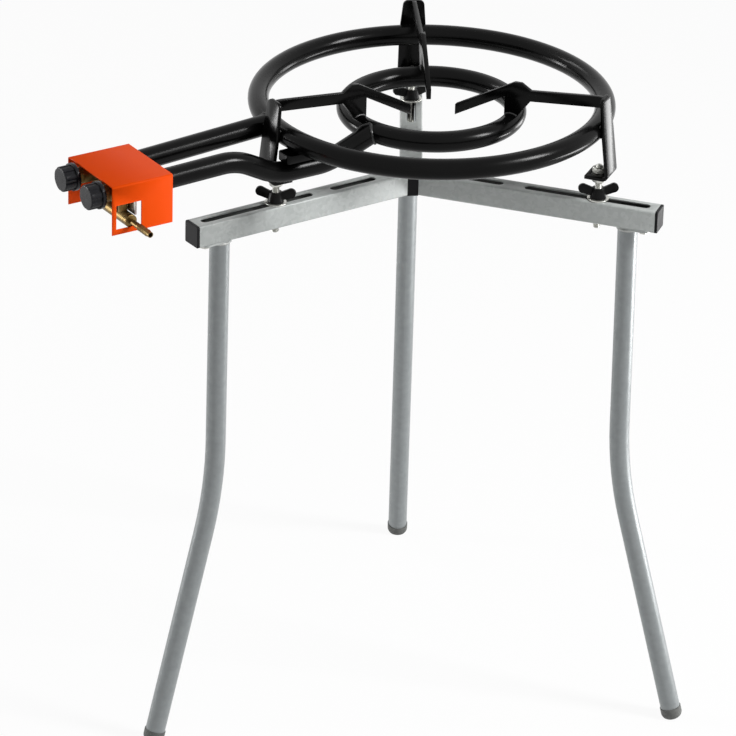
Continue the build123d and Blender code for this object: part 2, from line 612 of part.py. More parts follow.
def tap_body(y):
    """A brass tap body with its nose, a bore for the turning plug and an inlet boss below."""
    plug_end = PLUG_FRONT_REACH - PLUG_LENGTH
    body = tap_rod(VALVE_RADIUS, VALVE_FRONT_REACH, VALVE_BACK_REACH, y)
    nose_end = INJECTOR_REACH + INJECTOR_LENGTH - INJECTOR_SOCKET_DEPTH
    body += tap_rod(VALVE_NOSE_RADIUS, VALVE_BACK_REACH, nose_end, y)
    body += upright_gas_way(y, INLET_BOSS_RADIUS)
    body -= manifold_bar(MANIFOLD_RADIUS, INNER_TAP_Y - MANIFOLD_OVERHANG, OUTER_TAP_Y + MANIFOLD_OVERHANG)
    body -= tap_rod(PLUG_RADIUS + RUNNING_CLEARANCE, VALVE_FRONT_REACH + OVERRUN, plug_end, y)
    body -= tap_rod(GAS_PASSAGE_RADIUS, plug_end + OVERRUN, INJECTOR_REACH, y)
    return body - upright_gas_way(y, GAS_PASSAGE_RADIUS)


def stem_bar(clearance, front_reach, back_reach, y):
    """A round bar with one flat along it: the section that a stem shares with its sockets."""
    bar = tap_rod(STEM_RADIUS + clearance, front_reach, back_reach, y)
    length = front_reach - back_reach
    middle_x = -(front_reach + back_reach) / 2
    above_flat = TAP_HEIGHT + STEM_FLAT + clearance + STEM_RADIUS
    return bar - Pos(middle_x, y, above_flat) * Box(length, 4 * STEM_RADIUS, 2 * STEM_RADIUS)


def tap_plug(y):
    """The plug that turns inside a tap, with a flatted socket for its stem."""
    plug = tap_rod(PLUG_RADIUS, PLUG_FRONT_REACH, PLUG_FRONT_REACH - PLUG_LENGTH + PLUG_END_GAP, y)
    socket_depth = STEM_ENGAGEMENT + KNOB_PUSH + KNOB_STOP_GAP
    return plug - stem_bar(RUNNING_CLEARANCE, PLUG_FRONT_REACH + OVERRUN, PLUG_FRONT_REACH - socket_depth, y)


def tap_bonnet(y):
    """The hexagonal cap that keeps the plug in its tap."""
    front = VALVE_FRONT_REACH + BONNET_THICKNESS
    cap = hex_prism(BONNET_ACROSS_FLATS, (-front, y, TAP_HEIGHT), (-VALVE_FRONT_REACH, y, TAP_HEIGHT))
    return cap - tap_rod(STEM_RADIUS + BONNET_HOLE_CLEARANCE, front + OVERRUN, VALVE_FRONT_REACH - OVERRUN, y)


def tap_stem(y):
    """The flatted stem that carries a knob and slides in the plug's socket."""
    return stem_bar(0, KNOB_REAR_REACH + KNOB_BORE_DEPTH, PLUG_FRONT_REACH - STEM_ENGAGEMENT, y)


def knob(y):
    """A moulded knob: a round skirt, a fluted grip and a softly rounded front edge."""
    front = KNOB_REAR_REACH + KNOB_LENGTH
    skirt_end = KNOB_REAR_REACH + KNOB_SKIRT_LENGTH
    skirt = tap_rod(KNOB_RADIUS, skirt_end, KNOB_REAR_REACH, y)
    grip = tap_rod(KNOB_GRIP_RADIUS, front, skirt_end, y)
    grip = fillet(grip.edges().sort_by(Axis.X)[0], KNOB_EDGE_ROUND)
    flute_circle = KNOB_GRIP_RADIUS + KNOB_FLUTE_RADIUS - KNOB_FLUTE_DEPTH
    for index in range(KNOB_FLUTES):
        angle = 2 * math.pi * index / KNOB_FLUTES
        side = flute_circle * math.sin(angle)
        rise = flute_circle * math.cos(angle)
        grip -= Pos(0, side, rise) * tap_rod(KNOB_FLUTE_RADIUS, front + OVERRUN, skirt_end, y)
    return skirt + grip - stem_bar(0, KNOB_REAR_REACH + KNOB_BORE_DEPTH, KNOB_REAR_REACH - OVERRUN, y)


def injector(y):
    """The brass jet on a tap's nose, which blows gas into the open mouth of its feed tube."""
    front = INJECTOR_REACH + INJECTOR_LENGTH
    jet = hex_prism(INJECTOR_ACROSS_FLATS, (-front, y, TAP_HEIGHT), (-INJECTOR_REACH, y, TAP_HEIGHT))
    jet -= tap_rod(VALVE_NOSE_RADIUS, front + OVERRUN, front - INJECTOR_SOCKET_DEPTH, y)
    return jet - tap_rod(INJECTOR_JET_RADIUS, front, INJECTOR_REACH - OVERRUN, y)


def gas_manifold():
    """The brass tube across both taps, closed at its far end, with a hole up into each tap."""
    far = OUTER_TAP_Y + MANIFOLD_OVERHANG
    near = INNER_TAP_Y - MANIFOLD_OVERHANG
    tube = manifold_bar(MANIFOLD_RADIUS, near, far)
    tube -= manifold_bar(MANIFOLD_BORE_RADIUS, near - OVERRUN, far - MANIFOLD_END_WALL)
    for y in (OUTER_TAP_Y, INNER_TAP_Y):
        tube -= upright_gas_way(y, GAS_PASSAGE_RADIUS)
    return tube


def hose_tail():
    """The gas inlet: a hexagon collar against the manifold and a plain spout for the hose."""
    seat = INNER_TAP_Y - MANIFOLD_OVERHANG
    collar_end = seat - HOSE_TAIL_HEX_LENGTH
    tip = collar_end - HOSE_TAIL_LENGTH
    seat_centre = (-MANIFOLD_REACH, seat, MANIFOLD_HEIGHT)
    collar_centre = (-MANIFOLD_REACH, collar_end, MANIFOLD_HEIGHT)
    collar = hex_prism(HOSE_TAIL_HEX_ACROSS_FLATS, seat_centre, collar_centre)
    tail = collar + manifold_bar(HOSE_TAIL_RADIUS, collar_end, tip)
    return tail - manifold_bar(HOSE_TAIL_BORE_RADIUS, seat + OVERRUN, tip - OVERRUN)


def control_cover():
    """The folded cover over the taps: a top and two sides, open in front, behind and below."""
    middle = (COVER_TOP + COVER_BOTTOM) / 2
    inner_width = COVER_WIDTH - 2 * COVER_SHEET
    outside = Pos(TAP_LINE_Y, middle) * Rectangle(COVER_WIDTH, COVER_DEPTH)
    outside = fillet(outside.vertices().sort_by(Axis.Y)[-2:], COVER_BEND_RADIUS)
    inside = Pos(TAP_LINE_Y, middle - COVER_SHEET) * Rectangle(inner_width, COVER_DEPTH)
    inside = fillet(inside.vertices().sort_by(Axis.Y)[-2:], COVER_BEND_RADIUS - COVER_SHEET)
    cover = Pos(-COVER_FRONT_REACH, 0, 0) * extrude(Plane.YZ * (outside - inside), COVER_LENGTH)
    window_x = WINDOW_MARGIN + WINDOW_LENGTH / 2 - COVER_FRONT_REACH
    window_z = COVER_BOTTOM + WINDOW_SILL + WINDOW_HEIGHT / 2
    window_y = TAP_LINE_Y - COVER_WIDTH / 2
    return cover - Pos(window_x, window_y, window_z) * Box(WINDOW_LENGTH, 4 * COVER_SHEET, WINDOW_HEIGHT)


def tap_bracket():
    """The folded bracket inside the cover: it grips the tap noses in front and the feed tubes behind."""
    top = COVER_TOP - COVER_SHEET
    length = VALVE_BACK_REACH - BRACKET_REAR_REACH
    middle_x = -(VALVE_BACK_REACH + BRACKET_REAR_REACH) / 2
    bracket = Pos(middle_x, TAP_LINE_Y, top - BRACKET_DEPTH / 2) * Box(length, BRACKET_WIDTH, BRACKET_DEPTH)
    hollow = Box(length - 2 * BRACKET_SHEET, BRACKET_WIDTH, BRACKET_DEPTH)
    bracket -= Pos(middle_x, TAP_LINE_Y, top - BRACKET_DEPTH / 2 - BRACKET_SHEET) * hollow
    front_hole_end = VALVE_BACK_REACH - BRACKET_SHEET - OVERRUN
    for y in (OUTER_TAP_Y, INNER_TAP_Y):
        bracket -= tap_rod(VALVE_NOSE_RADIUS, VALVE_BACK_REACH + OVERRUN, front_hole_end, y)
    bracket -= tube_along(outer_feed_points(), RING_TUBE_RADIUS)
    return bracket - tube_along(inner_feed_points(), RING_TUBE_RADIUS)


def write(name, *shapes):
    """Writes one named piece, or a group of like pieces, as its own file."""
    solids = [solid for shape in shapes for solid in shape.solids()]
    piece = solids[0] if len(solids) == 1 else Compound(children=solids)
    export_step(piece, os.path.join("parts", name + ".step"))


def write_stand():
    """Writes the arms, hub, legs and their fasteners."""
    for arm in ARM_ORDER:
        write(arm + "_arm", on_arm(stand_arm(arm), arm))
        write(arm + "_arm_plug", on_arm(arm_plug(), arm))
        write(arm + "_leg", on_arm(leg(), arm))
        write(arm + "_foot_cap", on_arm(foot_cap(), arm))
        write(arm + "_leg_plate", on_arm(leg_plate(), arm))
    write("stand_hub", stand_hub())
    write("hub_plug", hub_plug())
    write("leg_bolts", *[on_arm(leg_bolt(), arm) for arm in ARM_ORDER])
    write("leg_nuts", *[on_arm(leg_nut(), arm) for arm in ARM_ORDER])
    write("stud_washers", *[on_support(stud_washer(), arm) for arm in ARM_ORDER])


def write_burner():
    """Writes the rings, feed tubes, pan supports, studs and wing nuts."""
    outer_ring, outer_feed = ring_with_feed(OUTER_RING_RADIUS, RING_HEIGHT, outer_feed_points())
    inner_ring, inner_feed = ring_with_feed(INNER_RING_RADIUS, INNER_RING_HEIGHT, inner_feed_points())
    write("outer_ring", outer_ring)
    write("inner_ring", inner_ring)
    write("outer_feed_tube", outer_feed)
    write("inner_feed_tube", inner_feed)
    write("feed_saddle", feed_saddle())
    for arm in ARM_ORDER:
        write(arm + "_pan_support", on_support(pan_support(), arm))
        write(arm + "_pan_bar", on_support(pan_bar(), arm))
        write(arm + "_stud", on_support(levelling_stud(), arm))
        write(arm + "_wing_nut", on_support(wing_nut(WING_NUT_TURNS[arm]), arm))
    nut_pair = stud_nut(TAB_TOP) + stud_nut(TAB_BOTTOM - STUD_NUT_HEIGHT)
    write("stud_nuts", *[on_support(nut_pair, arm) for arm in ARM_ORDER])


def write_gas_train():
    """Writes the taps, knobs, jets, manifold, inlet, bracket and cover."""
    for tap, y in (("outer", OUTER_TAP_Y), ("inner", INNER_TAP_Y)):
        write(tap + "_tap_body", tap_body(y))
        write(tap + "_tap_plug", tap_plug(y))
        write(tap + "_tap_bonnet", tap_bonnet(y))
        write(tap + "_tap_stem", tap_stem(y))
        write(tap + "_knob", knob(y))
        write(tap + "_injector", injector(y))
    write("gas_manifold", gas_manifold())
    write("hose_tail", hose_tail())
    write("tap_bracket", tap_bracket())
    write("control_cover", control_cover())


os.makedirs("parts", exist_ok=True)
write_stand()
write_burner()
write_gas_train()
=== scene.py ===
import bmesh
import bpy
import json
import math
import numpy as np
from mathutils import Matrix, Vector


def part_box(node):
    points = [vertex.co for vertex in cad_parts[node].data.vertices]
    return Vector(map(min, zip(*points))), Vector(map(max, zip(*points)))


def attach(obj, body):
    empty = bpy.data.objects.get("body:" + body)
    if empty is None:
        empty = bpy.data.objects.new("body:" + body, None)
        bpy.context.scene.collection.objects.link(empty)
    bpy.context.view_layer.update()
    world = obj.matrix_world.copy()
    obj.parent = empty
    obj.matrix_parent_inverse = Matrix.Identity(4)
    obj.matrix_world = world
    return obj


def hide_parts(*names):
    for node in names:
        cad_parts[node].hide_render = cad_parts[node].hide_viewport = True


# Paella burner: black gas rings on a galvanised three-legged stand, with an orange cover over the taps.
# Metres, in the part's own frame. Burner heights and reaches are read from the part's nodes.
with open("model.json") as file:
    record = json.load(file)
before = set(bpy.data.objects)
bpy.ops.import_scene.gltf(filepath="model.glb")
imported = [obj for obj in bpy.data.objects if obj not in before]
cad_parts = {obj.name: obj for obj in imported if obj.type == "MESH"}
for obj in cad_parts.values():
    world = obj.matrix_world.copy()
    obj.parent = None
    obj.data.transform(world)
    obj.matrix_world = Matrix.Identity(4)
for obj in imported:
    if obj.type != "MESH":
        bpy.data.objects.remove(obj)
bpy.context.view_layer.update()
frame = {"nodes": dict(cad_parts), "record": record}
nodes = frame["nodes"]
slot_of = {part["node"]: part["material_slot"] for part in frame["record"]["subparts"]}
body_of = {node: body for body, held in frame["record"]["behaviour"]["bodies"].items() for node in held}

# Angle of each arm's levelling stud about the rings' axis, in degrees
ARMS = {"front": 178.8, "rear_left": 63.0, "rear_right": -54.0}

# Sizes that the new pieces share with the part
TUBE_RADIUS = 0.0115
RING_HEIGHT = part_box("outer_ring")[0][2] + TUBE_RADIUS
INNER_RING_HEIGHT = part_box("inner_ring")[0][2] + TUBE_RADIUS
OUTER_RING_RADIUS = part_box("outer_ring")[1][0] - TUBE_RADIUS
INNER_RING_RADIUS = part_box("inner_ring")[1][0] - TUBE_RADIUS
STUD_CIRCLE = 0.195
STUD_RADIUS = 0.004
STUD_PITCH = 0.00125
TAB_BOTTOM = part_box("front_pan_support")[0][2]
TAB_THICKNESS = 0.004
STUD_NUT_HEIGHT = 0.0065
STUD_NUT_FLATS = 0.013
PAN_BAR_HALF = 0.0025
SUPPORT_HALF_WIDTH = 0.015
LEG_RADIUS = 0.011
KNOB_RADIUS = 0.015
FEED_DIP_REACH = 0.148
FEED_DIP_DROP = 0.033

# Sizes of the new detail
ARM_BORE_HALF = 0.0112
FEED_BEAD = 0.0018
SUPPORT_BEAD = 0.0015
LEG_BEAD = 0.0016
BEAD_RIPPLE = 0.0016
BEAD_END_MARGIN = 0.002
WELD_SEARCH = 2.2 * TUBE_RADIUS


# Camera, floor and light
def look(turn, drop, roll):
    """Right, up and forward of a view that heads `turn` degrees from +Y towards +X and `drop` down."""
    t, d, r = (math.radians(angle) for angle in (turn, drop, roll))
    forward = np.array([math.sin(t) * math.cos(d), math.cos(t) * math.cos(d), -math.sin(d)])
    right = np.array([math.cos(t), -math.sin(t), 0.0])
    up = np.cross(right, forward)
    return right * math.cos(r) + up * math.sin(r), up * math.cos(r) - right * math.sin(r), forward


def placed(item, right, up, back, place):
    """Sets an object's matrix from three directions and a place."""
    matrix = np.eye(4)
    matrix[:3, 0], matrix[:3, 1], matrix[:3, 2], matrix[:3, 3] = right, up, back, place
    item.matrix_world = Matrix(matrix.tolist())


def add_camera():
    """A long lens at the photograph's angle, shifted a little to put the object in the same place."""
    image_side, focal_pixels = 736.0, 5000.0
    centre_x, centre_y = 366.82, 368.11
    turn, drop, roll = 33.08, 25.85, 1.49
    eye = (-2.7911, -4.1696, 2.8061)
    right, up, forward = look(turn, drop, roll)
    data = bpy.data.cameras.new("view")
    data.sensor_width = 36.0
    data.lens = focal_pixels * data.sensor_width / image_side
    data.shift_x = (image_side / 2 - centre_x) / image_side
    data.shift_y = (centre_y - image_side / 2) / image_side
    data.clip_end = 60.0
    camera = bpy.data.objects.new("view", data)
    bpy.context.scene.collection.objects.link(camera)
    placed(camera, right, up, -forward, eye)
    bpy.context.scene.camera = camera


def add_lamp(name, place, aim, size, power):
    """A soft box at `place` that faces `aim`, with its sides in metres and its power in watts."""
    data = bpy.data.lights.new(name, "AREA")
    data.shape = "RECTANGLE"
    data.size, data.size_y = size
    data.energy = power
    lamp = bpy.data.objects.new(name, data)
    bpy.context.scene.collection.objects.link(lamp)
    back = np.array(place, float) - np.array(aim, float)
    back /= np.linalg.norm(back)
    side = np.cross([0.0, 0.0, 1.0], back)
    side /= np.linalg.norm(side)
    placed(lamp, side, np.cross(back, side), back, place)


def math_node(tree, operation, first, second=None, third=None, clamp=False):
    """A Math node whose inputs are sockets or plain numbers; returns its output."""
    node = tree.nodes.new("ShaderNodeMath")
    node.operation = operation
    node.use_clamp = clamp
    for socket, value in zip(node.inputs, (first, second, third)):
        if isinstance(value, bpy.types.NodeSocket):
            tree.links.new(value, socket)
        elif value is not None:
            socket.default_value = value
    return node.outputs[0]


def white_rays(tree):
    """A mask of the rays that show the white backdrop: camera, glossy and transmission rays."""
    path = tree.nodes.new("ShaderNodeLightPath")
    seen = math_node(tree, "MAXIMUM", path.outputs["Is Camera Ray"], path.outputs["Is Glossy Ray"])
    return math_node(tree, "MAXIMUM", seen, path.outputs["Is Transmission Ray"])


def add_world(fill):
    """A white backdrop that lights the part at the plain level `fill`."""
    world = bpy.data.worlds.new("studio")
    bpy.context.scene.world = world
    world.use_nodes = True
    tree = world.node_tree
    tree.nodes.clear()
    backgrounds = []
    for strength in (fill, 1.0):
        node = tree.nodes.new("ShaderNodeBackground")
        node.inputs["Color"].default_value = (1.0, 1.0, 1.0, 1.0)
        node.inputs["Strength"].default_value = strength
        backgrounds.append(node.outputs[0])
    mix = tree.nodes.new("ShaderNodeMixShader")
    tree.links.new(white_rays(tree), mix.inputs[0])
    tree.links.new(backgrounds[0], mix.inputs[1])
    tree.links.new(backgrounds[1], mix.inputs[2])
    out = tree.nodes.new("ShaderNodeOutputWorld")
    tree.links.new(mix.outputs[0], out.inputs[0])


def add_floor(white_share):
    """A plain pale floor that shows mostly the backdrop's white and keeps the part's soft shadow."""
    reach, pale = 9.0, 0.9
    corners = [(-reach, -reach, 0), (reach, -reach, 0), (reach, reach, 0), (-reach, reach, 0)]
    mesh = bpy.data.meshes.new("floor")
    mesh.from_pydata(corners, [], [(0, 1, 2, 3)])
    floor = bpy.data.objects.new("floor", mesh)
    bpy.context.scene.collection.objects.link(floor)
    material = bpy.data.materials.new("floor")
    material.use_nodes = True
    tree = material.node_tree
    tree.nodes.clear()
    paint = tree.nodes.new("ShaderNodeBsdfDiffuse")
    paint.inputs["Color"].default_value = (pale, pale, pale, 1.0)
    glow = tree.nodes.new("ShaderNodeEmission")
    mix = tree.nodes.new("ShaderNodeMixShader")
    tree.links.new(math_node(tree, "MULTIPLY", white_rays(tree), white_share), mix.inputs[0])
    tree.links.new(paint.outputs[0], mix.inputs[1])
    tree.links.new(glow.outputs[0], mix.inputs[2])
    out = tree.nodes.new("ShaderNodeOutputMaterial")
    tree.links.new(mix.outputs[0], out.inputs[0])
    mesh.materials.append(material)


# Effects that the materials share
def group(name, inputs, outputs):
    """An empty node group with named sockets: (name, kind, default) inputs and (name, kind) outputs."""
    tree = bpy.data.node_groups.new(name, "ShaderNodeTree")
    for label, kind, value in inputs:
        socket = tree.interface.new_socket(label, in_out="INPUT", socket_type=kind)
        socket.default_value = value
    for label, kind in outputs:
        tree.interface.new_socket(label, in_out="OUTPUT", socket_type=kind)
    return tree, tree.nodes.new("NodeGroupInput"), tree.nodes.new("NodeGroupOutput")


def noise(tree, scale, detail):
    """A noise texture on the object's own coordinates."""
    node = tree.nodes.new("ShaderNodeTexNoise")
    node.inputs["Detail"].default_value = detail
    tree.links.new(tree.nodes.new("ShaderNodeTexCoord").outputs["Object"], node.inputs["Vector"])
    if isinstance(scale, bpy.types.NodeSocket):
        tree.links.new(scale, node.inputs["Scale"])
    else:
        node.inputs["Scale"].default_value = scale
    return node


def two_tones(tree, mask, into, out):
    """Mixes a group's dark and light tones by a mask and puts out both the colour and the mask."""
    mix = tree.nodes.new("ShaderNodeMix")
    mix.data_type = "RGBA"
    tree.links.new(mask, mix.inputs[0])
    tree.links.new(into.outputs["Dark tone"], mix.inputs[6])
    tree.links.new(into.outputs["Light tone"], mix.inputs[7])
    tree.links.new(mix.outputs[2], out.inputs["Color"])
    tree.links.new(mask, out.inputs["Mask"])


TONES = [("Light tone", "NodeSocketColor", (1, 1, 1, 1)), ("Dark tone", "NodeSocketColor", (0, 0, 0, 1))]
COLOR_AND_MASK = [("Color", "NodeSocketColor"), ("Mask", "NodeSocketFloat")]


def mottle_group():
    """Two tones mixed by soft noise."""
    knobs = [("Scale", "NodeSocketFloat", 20.0), ("Contrast", "NodeSocketFloat", 1.0)]
    tree, into, out = group("mottle", TONES + knobs, COLOR_AND_MASK)
    pattern = noise(tree, into.outputs["Scale"], 4.0)
    centred = math_node(tree, "SUBTRACT", pattern.outputs["Fac"], 0.5)
    mask = math_node(tree, "MULTIPLY_ADD", centred, into.outputs["Contrast"], 0.5, clamp=True)
    two_tones(tree, mask, into, out)
    return tree


def spangle_group():
    """The leafy crystals of hot-dip zinc: warped cells that differ a little in tone, softened by noise."""
    warp_scale, warp_reach, cloud_scale, cell_share = 70.0, 0.014, 45.0, 0.45
    tree, into, out = group("spangle", TONES + [("Scale", "NodeSocketFloat", 90.0)], COLOR_AND_MASK)
    place = tree.nodes.new("ShaderNodeTexCoord").outputs["Object"]
    warp = noise(tree, warp_scale, 2.0)
    bend = tree.nodes.new("ShaderNodeVectorMath")
    bend.operation = "MULTIPLY_ADD"
    bend.inputs[1].default_value = (warp_reach, warp_reach, warp_reach)
    tree.links.new(warp.outputs["Color"], bend.inputs[0])
    tree.links.new(place, bend.inputs[2])
    cells = tree.nodes.new("ShaderNodeTexVoronoi")
    tree.links.new(bend.outputs[0], cells.inputs["Vector"])
    tree.links.new(into.outputs["Scale"], cells.inputs["Scale"])
    split = tree.nodes.new("ShaderNodeSeparateColor")
    tree.links.new(cells.outputs["Color"], split.inputs[0])
    cloud = noise(tree, cloud_scale, 5.0)
    crystals = math_node(tree, "MULTIPLY", split.outputs[0], cell_share)
    mask = math_node(tree, "MULTIPLY_ADD", cloud.outputs["Fac"], 1.0 - cell_share, crystals, clamp=True)
    two_tones(tree, mask, into, out)
    return tree


def relief_group():
    """A height made of two sizes of noise, for a Bump node."""
    knobs = [("Fine scale", "NodeSocketFloat", 900.0), ("Broad scale", "NodeSocketFloat", 60.0),
             ("Broad share", "NodeSocketFloat", 0.3)]
    tree, into, out = group("relief", knobs, [("Height", "NodeSocketFloat")])
    mix = tree.nodes.new("ShaderNodeMix")
    tree.links.new(into.outputs["Broad share"], mix.inputs[0])
    tree.links.new(noise(tree, into.outputs["Fine scale"], 3.0).outputs["Fac"], mix.inputs[2])
    tree.links.new(noise(tree, into.outputs["Broad scale"], 3.0).outputs["Fac"], mix.inputs[3])
    tree.links.new(mix.outputs[0], out.inputs["Height"])
    return tree


def port_group():
    """The gas ports of a ring: round dots at one angle round its tube, evenly spaced round the ring.

    A dot's mask is 4.5 - 4 * distance / port radius, held between 0 and 1.
    """
    whole_turns, slope = 100.0, 4.0
    knobs = [("Ring radius", "NodeSocketFloat", 0.1), ("Ring height", "NodeSocketFloat", 0.7),
             ("Count", "NodeSocketFloat", 60.0), ("Tilt", "NodeSocketFloat", 1.2),
             ("Port radius", "NodeSocketFloat", 0.0009)]
    tree, into, out = group("ports", knobs, [("Mask", "NodeSocketFloat")])
    split = tree.nodes.new("ShaderNodeSeparateXYZ")
    tree.links.new(tree.nodes.new("ShaderNodeTexCoord").outputs["Object"], split.inputs[0])
    x, y, z = split.outputs
    from_axis = math_node(tree, "MULTIPLY_ADD", x, x, math_node(tree, "MULTIPLY", y, y))
    from_axis = math_node(tree, "SQRT", from_axis)
    turns = math_node(tree, "DIVIDE", math_node(tree, "ARCTAN2", y, x), 2 * math.pi)
    step = math_node(tree, "MULTIPLY_ADD", turns, into.outputs["Count"], whole_turns)
    step = math_node(tree, "FRACT", step)
    along = math_node(tree, "DIVIDE", math_node(tree, "SUBTRACT", step, 0.5), into.outputs["Count"])
    along = math_node(tree, "MULTIPLY", math_node(tree, "MULTIPLY", along, 2 * math.pi), from_axis)
    outward = math_node(tree, "SUBTRACT", from_axis, into.outputs["Ring radius"])
    upward = math_node(tree, "SUBTRACT", z, into.outputs["Ring height"])
    tilt = math_node(tree, "ARCTAN2", upward, outward)
    across = math_node(tree, "SUBTRACT", tilt, into.outputs["Tilt"])
    across = math_node(tree, "MULTIPLY", across, TUBE_RADIUS)
    away = math_node(tree, "MULTIPLY_ADD", along, along, math_node(tree, "MULTIPLY", across, across))
    away = math_node(tree, "DIVIDE", math_node(tree, "SQRT", away), into.outputs["Port radius"])
    mask = math_node(tree, "MULTIPLY_ADD", away, -slope, slope + 0.5, clamp=True)
    tree.links.new(mask, out.inputs["Mask"])
    return tree


MOTTLE, SPANGLE, RELIEF, PORTS = mottle_group(), spangle_group(), relief_group(), port_group()


def place_group(tree, shared, **values):
    """Puts a shared effect into a material with its own values."""
    node = tree.nodes.new("ShaderNodeGroup")
    node.node_tree = shared
    for label, value in values.items():
        node.inputs[label.replace("_", " ")].default_value = value
    return node


def bump(tree, height, strength, distance, normal=None):
    """A Bump node over a height; returns its normal."""
    node = tree.nodes.new("ShaderNodeBump")
    node.inputs["Strength"].default_value = strength
    node.inputs["Distance"].default_value = distance
    tree.links.new(height, node.inputs["Height"])
    if normal is not None:
        tree.links.new(normal, node.inputs["Normal"])
    return node.outputs["Normal"]


def finish(name, light, dark, rough, metal=0.0, mottle=30.0, contrast=2.0, spangle=0.0, fine=900.0,
           broad=60.0, share=0.3, lift=0.15, depth=0.0002, specular=0.5, ports=None):
    """A surface of two tones, with a least and a most roughness, a fine relief and a ring's gas ports,
    whose dents get painted shade.
    """
    material = bpy.data.materials.new(name)
    material.use_nodes = True
    tree = material.node_tree
    tree.nodes.clear()
    bsdf = tree.nodes.new("ShaderNodeBsdfPrincipled")
    out = tree.nodes.new("ShaderNodeOutputMaterial")
    tree.links.new(bsdf.outputs[0], out.inputs[0])
    bsdf.inputs["Metallic"].default_value = metal
    bsdf.inputs["Specular IOR Level"].default_value = specular
    tones = dict(Light_tone=(*light, 1), Dark_tone=(*dark, 1))
    if spangle:
        tone = place_group(tree, SPANGLE, Scale=spangle, **tones)
    else:
        tone = place_group(tree, MOTTLE, Scale=mottle, Contrast=contrast, **tones)
    spread = tree.nodes.new("ShaderNodeMapRange")
    spread.inputs["To Min"].default_value, spread.inputs["To Max"].default_value = rough
    tree.links.new(tone.outputs["Mask"], spread.inputs["Value"])
    tree.links.new(spread.outputs["Result"], bsdf.inputs["Roughness"])
    relief = place_group(tree, RELIEF, Fine_scale=fine, Broad_scale=broad, Broad_share=share)
    normal = bump(tree, relief.outputs["Height"], lift, depth)
    colour = tone.outputs["Color"]
    if ports:
        holes = place_group(tree, PORTS, **ports)
        # The gas ports are coloured near-black: painted shade inside the holes, over their dents.
        shade = tree.nodes.new("ShaderNodeMix")
        shade.data_type = "RGBA"
        shade.inputs[7].default_value = PORT_PAINTED_SHADE
        tree.links.new(holes.outputs["Mask"], shade.inputs[0])
        tree.links.new(colour, shade.inputs[6])
        colour = shade.outputs[2]
        height = math_node(tree, "SUBTRACT", 1.0, holes.outputs["Mask"])
        normal = bump(tree, height, 1.0, PORT_DEPTH, normal)
    tree.links.new(colour, bsdf.inputs["Base Color"])
    tree.links.new(normal, bsdf.inputs["Normal"])
    return material


# Painted shade inside the gas ports, and the depth of their dents
PORT_PAINTED_SHADE = (0.0008, 0.0008, 0.0008, 1.0)
PORT_DEPTH = 0.0008
ENAMEL = dict(light=(0.0030, 0.0030, 0.0030), dark=(0.0010, 0.0010, 0.0010), rough=(0.14, 0.26),
              mottle=25.0, fine=700.0, broad=45.0, share=0.5, lift=0.12, specular=0.11)
LOOKS = {
    "galvanised": dict(light=(0.53, 0.555, 0.543), dark=(0.365, 0.387, 0.378), rough=(0.34, 0.5),
                       metal=0.08, spangle=260.0, fine=1400.0, lift=0.12),
    # Painted shade for the walls inside the square tubes, on a rougher zinc
    "painted_bore_shade": dict(light=(0.085, 0.09, 0.086), dark=(0.045, 0.048, 0.046),
                            rough=(0.55, 0.75), metal=0.1, mottle=90.0, fine=1200.0, lift=0.1),
    "galvanised_tube": dict(light=(0.285, 0.304, 0.308), dark=(0.222, 0.239, 0.243),
                            rough=(0.3, 0.42), metal=0.3, mottle=140.0, contrast=1.3, fine=1200.0,
                            lift=0.1),
    "black_plastic": dict(light=(0.009, 0.009, 0.010), dark=(0.004, 0.004, 0.005),
                          rough=(0.38, 0.55), mottle=120.0, fine=2500.0, lift=0.25, depth=0.0001,
                          specular=0.12),
    "rubber_foot": dict(light=(0.14, 0.143, 0.136), dark=(0.08, 0.082, 0.078), rough=(0.6, 0.8),
                        mottle=90.0, fine=1800.0, lift=0.25, depth=0.0001),
    "zinc": dict(light=(0.66, 0.66, 0.62), dark=(0.46, 0.46, 0.43), rough=(0.25, 0.4), metal=0.9,
                 mottle=200.0, fine=3000.0, lift=0.1, depth=0.0001),
    "black_steel": dict(light=(0.008, 0.008, 0.008), dark=(0.003, 0.003, 0.003), rough=(0.28, 0.45),
                        mottle=90.0, fine=1500.0, lift=0.25, specular=0.1),
    "black_enamel": ENAMEL,
    "orange_paint": dict(light=(0.89, 0.083, 0.002), dark=(0.81, 0.064, 0.0015), rough=(0.42, 0.52),
                         mottle=14.0, contrast=1.4, fine=1600.0, lift=0.18, depth=0.0001,
                         specular=0.05),
    "brass": dict(light=(0.245, 0.17, 0.065), dark=(0.125, 0.082, 0.03), rough=(0.36, 0.52),
                  metal=1.0, mottle=120.0, fine=2200.0, lift=0.1, depth=0.0001),
    "knob_plastic": dict(light=(0.008, 0.008, 0.011), dark=(0.003, 0.003, 0.005), rough=(0.2, 0.34),
                         mottle=150.0, fine=3000.0, lift=0.15, depth=0.0001, specular=0.2),
}
FINISHES = {name: finish(name, **look) for name, look in LOOKS.items()}
RING_PORTS = {
    "outer_ring": dict(Ring_radius=OUTER_RING_RADIUS, Ring_height=RING_HEIGHT, Count=108.0,
                       Tilt=math.radians(115.0)),
    "inner_ring": dict(Ring_radius=INNER_RING_RADIUS, Ring_height=INNER_RING_HEIGHT, Count=54.0,
                       Tilt=math.radians(65.0)),
}
PORTED = {name: finish(name + "_enamel", ports=ports, **ENAMEL) for name, ports in RING_PORTS.items()}
BEAD_PAINT = finish("painted_weld", light=(0.010, 0.010, 0.010), dark=(0.004, 0.004, 0.004),
                    rough=(0.32, 0.5), mottle=150.0, fine=1500.0, lift=0.4)
BEAD_ZINC = finish("zinc_weld", light=(0.52, 0.53, 0.51), dark=(0.33, 0.34, 0.33),
                   rough=(0.4, 0.6), metal=0.5, mottle=180.0, fine=1500.0, lift=0.4)


# Surfaces worked out with numpy
def unit(vectors):
    """Vectors of length one along the last axis."""
    return vectors / np.linalg.norm(vectors, axis=-1, keepdims=True)


